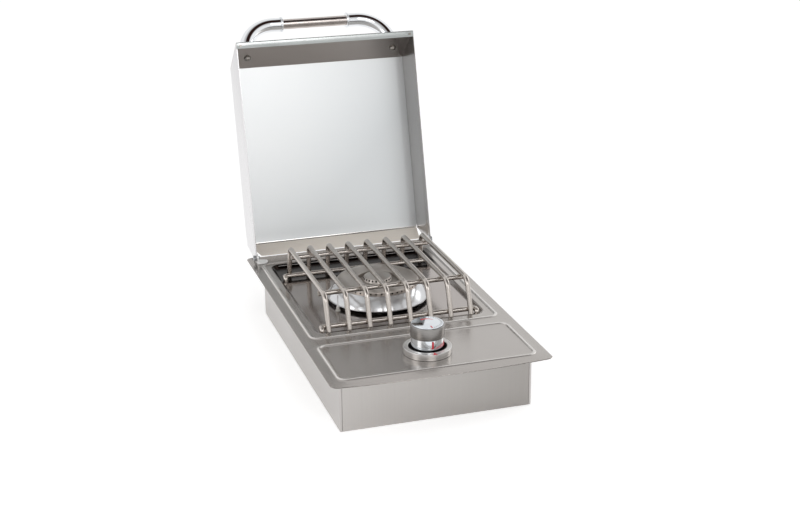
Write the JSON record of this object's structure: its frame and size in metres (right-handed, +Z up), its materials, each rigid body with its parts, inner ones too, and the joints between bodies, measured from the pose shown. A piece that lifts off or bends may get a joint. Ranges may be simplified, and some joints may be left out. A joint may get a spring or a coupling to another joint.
{
  "type": "built in side burner",
  "caption": "Drop-in gas side burner for an outdoor kitchen: steel counter plate and box, round burner in a shallow pan, wire grate, push-and-turn knob, fold-back lid.",
  "frame": {"origin": "centre of the box's bottom face", "axes": "+X to the right, +Y to the rear (the hinge side), +Z up; the knob is at the -Y end"},
  "size_m": [0.305, 0.6499, 0.4324],
  "materials": {
    "plate_steel": "fine brushed along the length",
    "box_steel": "satin",
    "lid_steel": "satin",
    "wire_steel": "satin wire, heat tinted at the welds",
    "satin_steel": "turned satin",
    "chrome": "mirror",
    "cast_metal": "as cast",
    "brass": "machined",
    "zinc": "zinc plated",
    "ceramic": "glazed ceramic",
    "pointer_red": "enamel"
  },
  "bodies": {
    "housing": {"counter_plate": "plate_steel", "box_front": "box_steel", "box_rear": "box_steel", "box_left": "box_steel", "box_right": "box_steel", "box_bottom": "box_steel", "knob_bezel": "satin_steel", "valve_screw_left": "zinc", "valve_screw_right": "zinc", "valve_bracket": "zinc", "valve_bonnet": "brass", "valve_body": "brass", "gas_jet": "brass", "gas_pipe": "zinc", "gas_inlet": "brass", "inlet_nut": "brass", "burner_body": "cast_metal", "burner_stand": "zinc", "burner_dish": "chrome", "igniter_insulator": "ceramic", "igniter_pin": "zinc", "hinge_bracket_left": "chrome", "hinge_bracket_right": "chrome", "hinge_pin_left": "zinc", "hinge_pin_right": "zinc"},
    "ring_cap": {"burner_ring_cap": "satin_steel"},
    "centre_cap": {"burner_centre_cap": "satin_steel"},
    "valve_plug": {"valve_plug": "brass", "valve_spring": "zinc"},
    "knob": {"valve_stem": "zinc", "knob_body": "satin_steel", "knob_cap": "chrome", "knob_pointer": "pointer_red"},
    "grate": {"grate_rod_1": "wire_steel", "grate_rod_2": "wire_steel", "grate_rod_3": "wire_steel", "grate_rod_4": "wire_steel", "grate_rod_5": "wire_steel", "grate_rod_6": "wire_steel", "grate_rod_7": "wire_steel", "grate_rod_8": "wire_steel", "grate_upper_bar_front": "wire_steel", "grate_upper_bar_rear": "wire_steel", "grate_lower_bar_front": "wire_steel", "grate_lower_bar_rear": "wire_steel"},
    "lid": {"lid_panel": "lid_steel", "lid_side_left": "lid_steel", "lid_side_right": "lid_steel", "lid_rivet_left": "chrome", "lid_rivet_right": "chrome", "handle_elbow_left": "chrome", "handle_elbow_right": "chrome", "handle_collar_left": "chrome", "handle_collar_right": "chrome", "handle_bolt_left": "chrome", "handle_bolt_right": "chrome", "handle_bar": "satin_steel"}
  },
  "joints": [
    {"name": "lid_hinge", "type": "hinge", "parent": "housing", "child": "lid", "pos_m": [0, 0.2322, 0.088], "axis": [1, 0, 0], "range_deg": [0, 105.3]},
    {"name": "knob_turn", "type": "hinge", "parent": "housing", "child": "valve_plug", "pos_m": [0, -0.178, 0.054], "axis": [0, 0, 1], "range_deg": [0, 210]},
    {"name": "knob_push", "type": "slide", "parent": "valve_plug", "child": "knob", "axis": [0, 0, -1], "range_m": [0, 0.0035], "stiffness_N_per_m": 1500, "springref_m": -0.002, "deforming": ["valve_spring"]},
    {"name": "grate_lift", "type": "slide", "parent": "housing", "child": "grate", "axis": [0, 0, 1], "range_m": [0, 0.015]},
    {"name": "ring_cap_lift", "type": "slide", "parent": "housing", "child": "ring_cap", "axis": [0, 0, 1], "range_m": [0, 0.01]},
    {"name": "centre_cap_lift", "type": "slide", "parent": "housing", "child": "centre_cap", "axis": [0, 0, 1], "range_m": [0, 0.01]}
  ]
}
